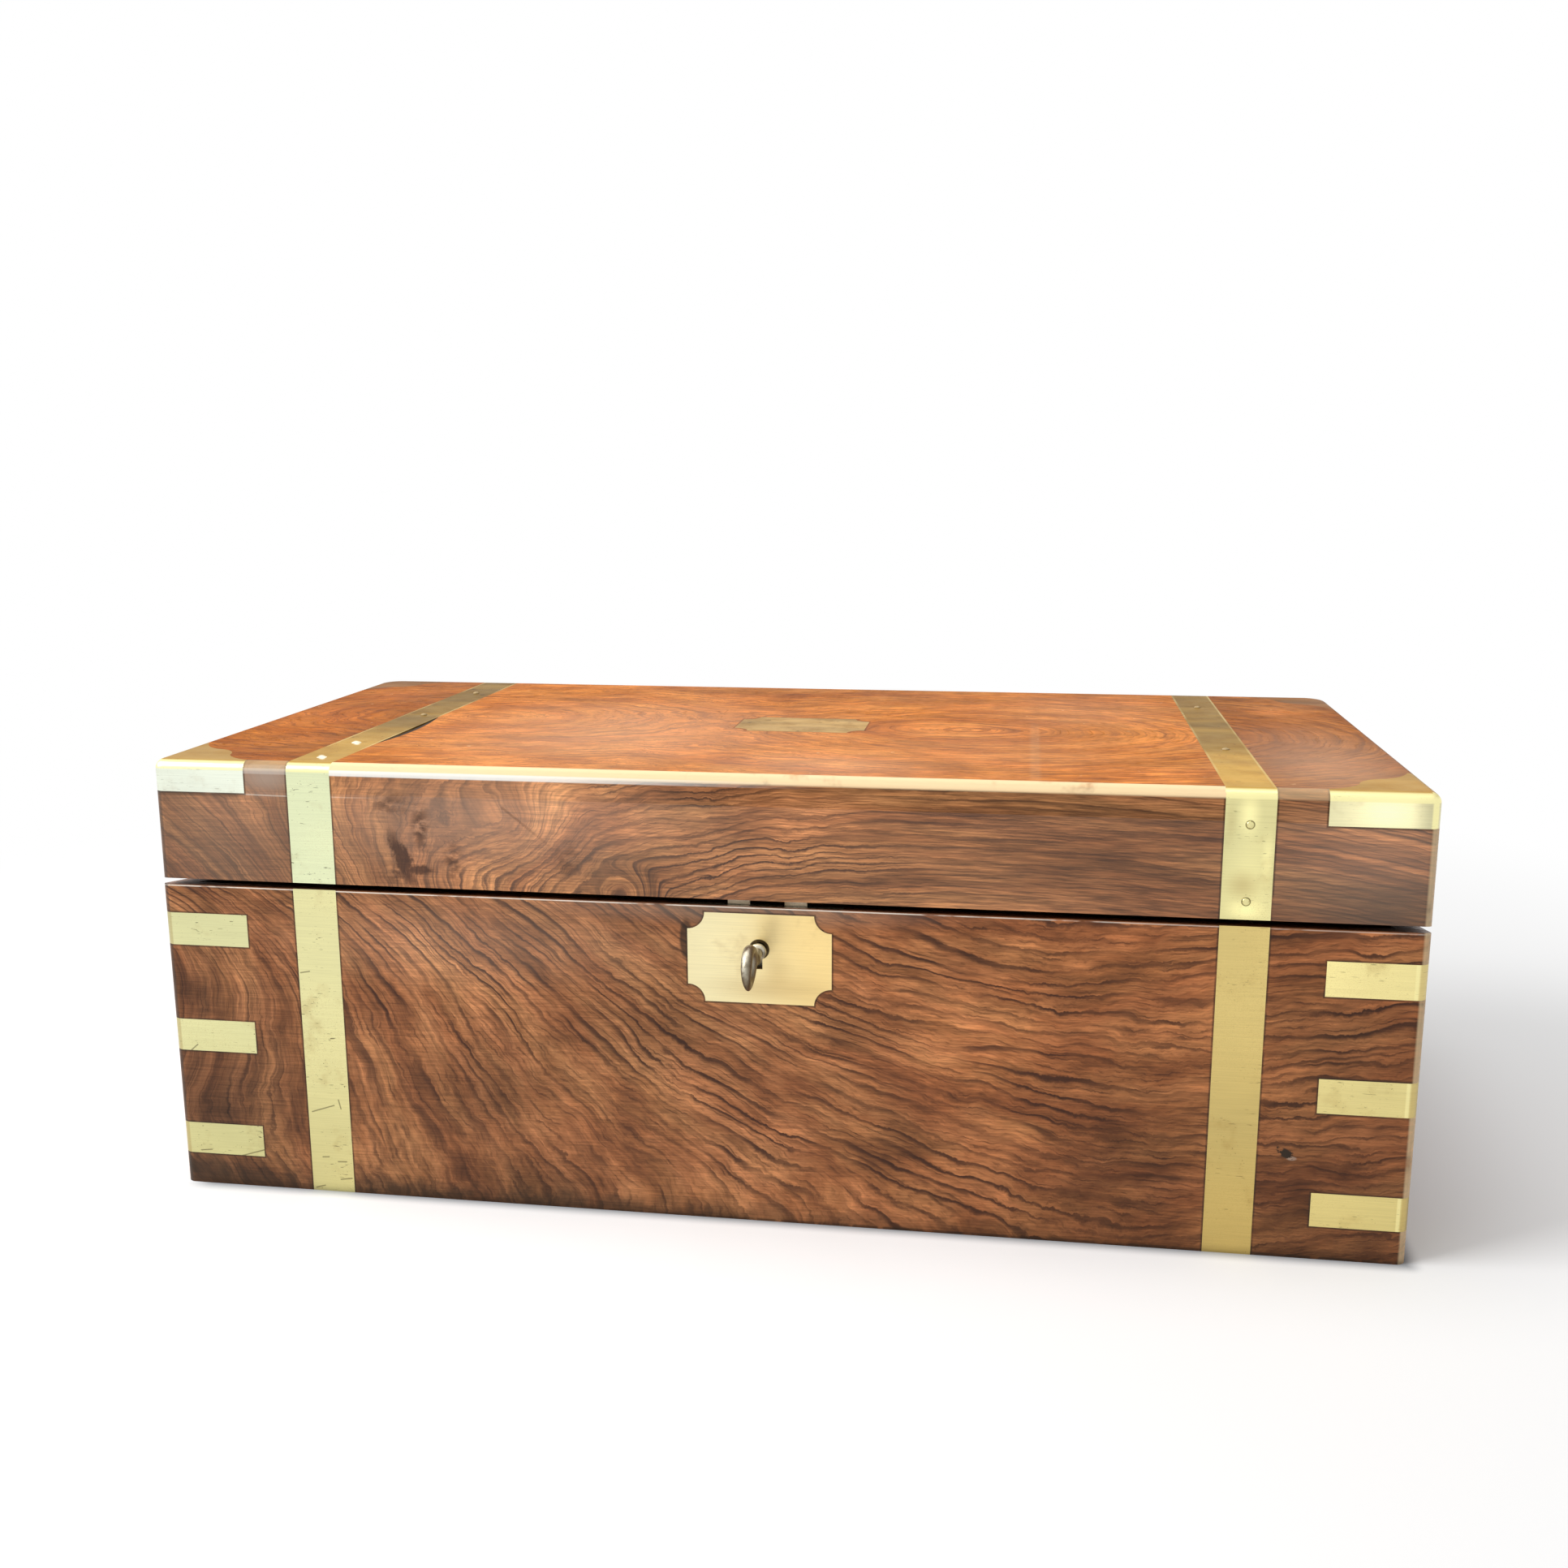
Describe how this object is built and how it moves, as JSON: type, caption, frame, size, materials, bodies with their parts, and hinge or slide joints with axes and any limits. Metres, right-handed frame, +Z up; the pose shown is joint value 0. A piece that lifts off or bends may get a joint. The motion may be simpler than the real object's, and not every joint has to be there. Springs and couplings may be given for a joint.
{
  "type": "travel writing desk",
  "caption": "Brass-bound wooden writing box with a sloped seam; its lid folds back to make one long slope of two hinged leather flaps over paper wells.",
  "frame": {"origin": "centre of the underside, halfway across and halfway from the front face to the back face", "axes": "+X to the right of someone facing the lock, -Y out of the lock side, +Z up"},
  "size_m": [0.508, 0.2814, 0.1872],
  "materials": {
    "outer_wood": "figured rosewood veneer, waxed, worn",
    "inner_wood": "plain mahogany, oiled",
    "brass": "old brass, rubbed bright, scratched",
    "steel": "worn bare steel",
    "writing_leather": "dark green skiver, worn at the edges",
    "inkwell_glass": "clear pressed glass"
  },
  "bodies": {
    "base": {"base_front_board": "outer_wood", "base_back_board": "outer_wood", "base_left_side": "outer_wood", "base_right_side": "outer_wood", "base_bottom_board": "inner_wood", "compartment_divider": "inner_wood", "inkwell_divider_left": "inner_wood", "inkwell_divider_right": "inner_wood", "compartment_floor": "inner_wood", "base_rest_strips": "inner_wood", "pen_tray": "inner_wood", "upper_flap_board": "inner_wood", "base_front_strap_left": "brass", "base_front_strap_right": "brass", "base_back_strap_left": "brass", "base_back_strap_right": "brass", "base_corner_straps_front_left": "brass", "base_corner_straps_front_right": "brass", "base_corner_straps_back_left": "brass", "base_corner_straps_back_right": "brass", "escutcheon": "brass", "base_hinge_leaf_left": "brass", "base_hinge_leaf_right": "brass", "inkwell_cap_left": "brass", "inkwell_cap_right": "brass", "upper_flap_catch": "brass", "lock_cap": "brass", "lock_case": "steel", "lock_screws": "steel", "hinge_pin_left": "steel", "hinge_pin_right": "steel", "base_hinge_screws": "steel", "upper_flap_leather": "writing_leather", "inkwell_left": "inkwell_glass", "inkwell_right": "inkwell_glass"},
    "lid": {"lid_top_board": "outer_wood", "lid_front_board": "outer_wood", "lid_back_board": "outer_wood", "lid_left_side": "outer_wood", "lid_right_side": "outer_wood", "lid_rest_strips": "inner_wood", "lower_flap_board": "inner_wood", "lid_strap_left": "brass", "lid_strap_right": "brass", "lid_corner_front_left": "brass", "lid_corner_front_right": "brass", "lid_corner_back_left": "brass", "lid_corner_back_right": "brass", "lid_plaque": "brass", "lid_strap_nails": "brass", "lid_hinge_leaf_left": "brass", "lid_hinge_leaf_right": "brass", "lower_flap_catch": "brass", "link_plate": "brass", "lid_hinge_screws": "steel", "link_plate_screws": "steel", "lower_flap_leather": "writing_leather"},
    "key": {"key": "steel"},
    "bolt": {"lock_bolt": "steel"}
  },
  "joints": [
    {"name": "lid_hinge", "type": "hinge", "parent": "base", "child": "lid", "pos_m": [0, 0.1239, 0.0925], "axis": [-1, 0, 0], "range_deg": [-0.51, 179.49]},
    {"name": "key_turn", "type": "hinge", "parent": "base", "child": "key", "pos_m": [0, -0.1235, 0.1169], "axis": [0, -1, 0], "range_deg": [0, 90]},
    {"name": "bolt_slide", "type": "slide", "parent": "base", "child": "bolt", "axis": [1, 0, 0], "range_m": [0, 0.005]}
  ],
  "couplings": [
    {"joint": "bolt_slide", "follows": "key_turn", "m_per_rad": 0.0031831}
  ]
}
